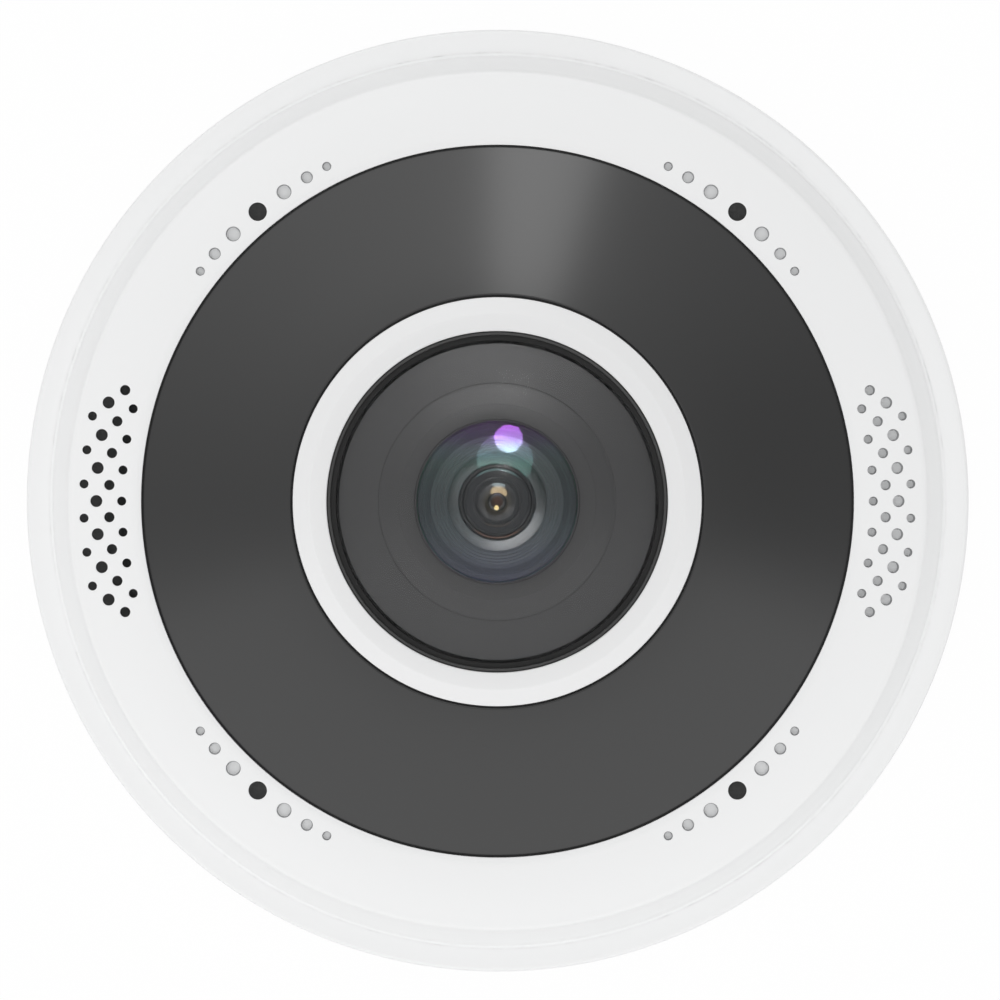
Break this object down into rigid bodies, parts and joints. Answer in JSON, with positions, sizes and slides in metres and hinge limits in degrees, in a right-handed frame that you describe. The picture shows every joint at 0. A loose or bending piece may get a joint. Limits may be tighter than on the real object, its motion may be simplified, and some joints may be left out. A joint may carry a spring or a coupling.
{
  "type": "ip security camera",
  "caption": "Round white ceiling camera with a smoked conical infrared window, a tinted fisheye dome, a speaker grille and microphones, on a twist-lock plate",
  "frame": {"origin": "centre of the ceiling face of the mounting plate, where the camera lies on its back", "axes": "+Z out through the lens, -X towards the speaker grille, +Y the top of the picture"},
  "size_m": [0.145, 0.145, 0.0472],
  "materials": {
    "galvanised_steel": "pressed galvanised sheet",
    "white_metal": "satin white paint",
    "white_plastic": "satin white moulding with very fine grain",
    "screw_steel": "turned and plated",
    "black_rubber": "matt black",
    "smoked_window": "smoked, polished, passes infrared",
    "tinted_dome": "clear moulded dome, lightly smoked",
    "black_plastic": "matt black moulding",
    "cast_aluminium": "machined plate",
    "circuit_board": "solder mask",
    "chip_black": "moulded chip package",
    "thermal_rubber": "soft grey-blue pad",
    "jack_metal": "nickel plated sheet",
    "terminal_plastic": "green moulding",
    "white_button": "plain moulding",
    "capacitor_can": "drawn can",
    "led_plastic": "clear package with a small round lens",
    "sensor_ceramic": "ceramic package with a dark window",
    "filter_glass": "coated filter pane",
    "clear_glass": "clear pane",
    "magnet_metal": "plated magnet",
    "copper_wire": "enamelled copper winding",
    "lens_metal": "black anodised, finely ridged",
    "lens_ring_grey": "ground edge, dull grey",
    "lens_glass": "coated glass with violet and green reflections",
    "acoustic_cloth": "woven black mesh",
    "foam": "closed-cell foam",
    "cone_film": "pressed film"
  },
  "bodies": {
    "ceiling_bracket": {"mounting_plate": "galvanised_steel"},
    "camera": {"rear_housing": "white_metal", "lock_studs": "screw_steel", "lock_screw": "screw_steel", "cover_screws": "screw_steel", "housing_seal": "black_rubber", "front_cover": "white_plastic", "ir_window": "smoked_window", "bezel_ring": "white_plastic", "dome_seal": "black_rubber", "dome_cover": "tinted_dome", "dome_carrier": "black_plastic", "inner_hood": "black_plastic", "chassis_plate": "cast_aluminium", "chassis_screws": "screw_steel", "main_board": "circuit_board", "main_processor": "chip_black", "memory_chips": "chip_black", "thermal_pad": "thermal_rubber", "ethernet_jack": "jack_metal", "ethernet_transformer": "chip_black", "power_terminal": "terminal_plastic", "card_socket": "jack_metal", "reset_switch": "chip_black", "power_capacitors": "capacitor_can", "led_board": "circuit_board", "ir_leds": "led_plastic", "light_sensor": "led_plastic", "board_connector": "black_plastic", "sensor_board": "circuit_board", "sensor_board_screws": "screw_steel", "image_sensor": "sensor_ceramic", "filter_base": "black_plastic", "lens_holder": "black_plastic", "filter_coil": "copper_wire", "lens_barrel": "lens_metal", "lens_front_ring": "lens_metal", "lens_front_element": "lens_glass", "lens_baffle": "lens_metal", "lens_second_ring": "lens_ring_grey", "lens_second_element": "lens_glass", "lens_stop": "lens_metal", "lens_rear_element": "lens_glass", "speaker_mesh": "acoustic_cloth", "speaker_gasket": "foam", "speaker_frame": "black_plastic", "speaker_surround": "black_rubber", "speaker_magnet": "magnet_metal", "mic_meshes": "acoustic_cloth", "mic_boots": "black_rubber", "mic_capsules": "capacitor_can"},
    "ir_cut_slider": {"filter_carriage": "black_plastic", "ir_cut_filter": "filter_glass", "clear_filter": "clear_glass"},
    "filter_rocker": {"filter_lever": "white_button", "filter_magnet": "magnet_metal"},
    "speaker_diaphragm": {"speaker_cone": "cone_film", "voice_coil": "copper_wire"},
    "reset_plunger": {"reset_button": "white_button"}
  },
  "joints": [
    {"name": "twist_lock", "type": "hinge", "parent": "ceiling_bracket", "child": "camera", "pos_m": [0, 0, 0.003], "axis": [0, 0, 1], "range_deg": [0, 18]},
    {"name": "filter_lever_turn", "type": "hinge", "parent": "camera", "child": "filter_rocker", "pos_m": [0, 0.0106, 0.0295], "axis": [0, 0, 1], "range_deg": [0, 55.6]},
    {"name": "filter_slide", "type": "slide", "parent": "camera", "child": "ir_cut_slider", "axis": [1, 0, 0], "range_m": [0, 0.0056]},
    {"name": "cone_travel", "type": "slide", "parent": "camera", "child": "speaker_diaphragm", "axis": [0, 0, 1], "range_m": [-0.00025, 0.00025], "stiffness_N_per_m": 1200},
    {"name": "reset_press", "type": "slide", "parent": "camera", "child": "reset_plunger", "axis": [0, 0, 1], "range_m": [0, 0.0005], "stiffness_N_per_m": 900}
  ],
  "couplings": [
    {"joint": "filter_lever_turn", "follows": "filter_slide", "rad_per_m": 173.29}
  ]
}
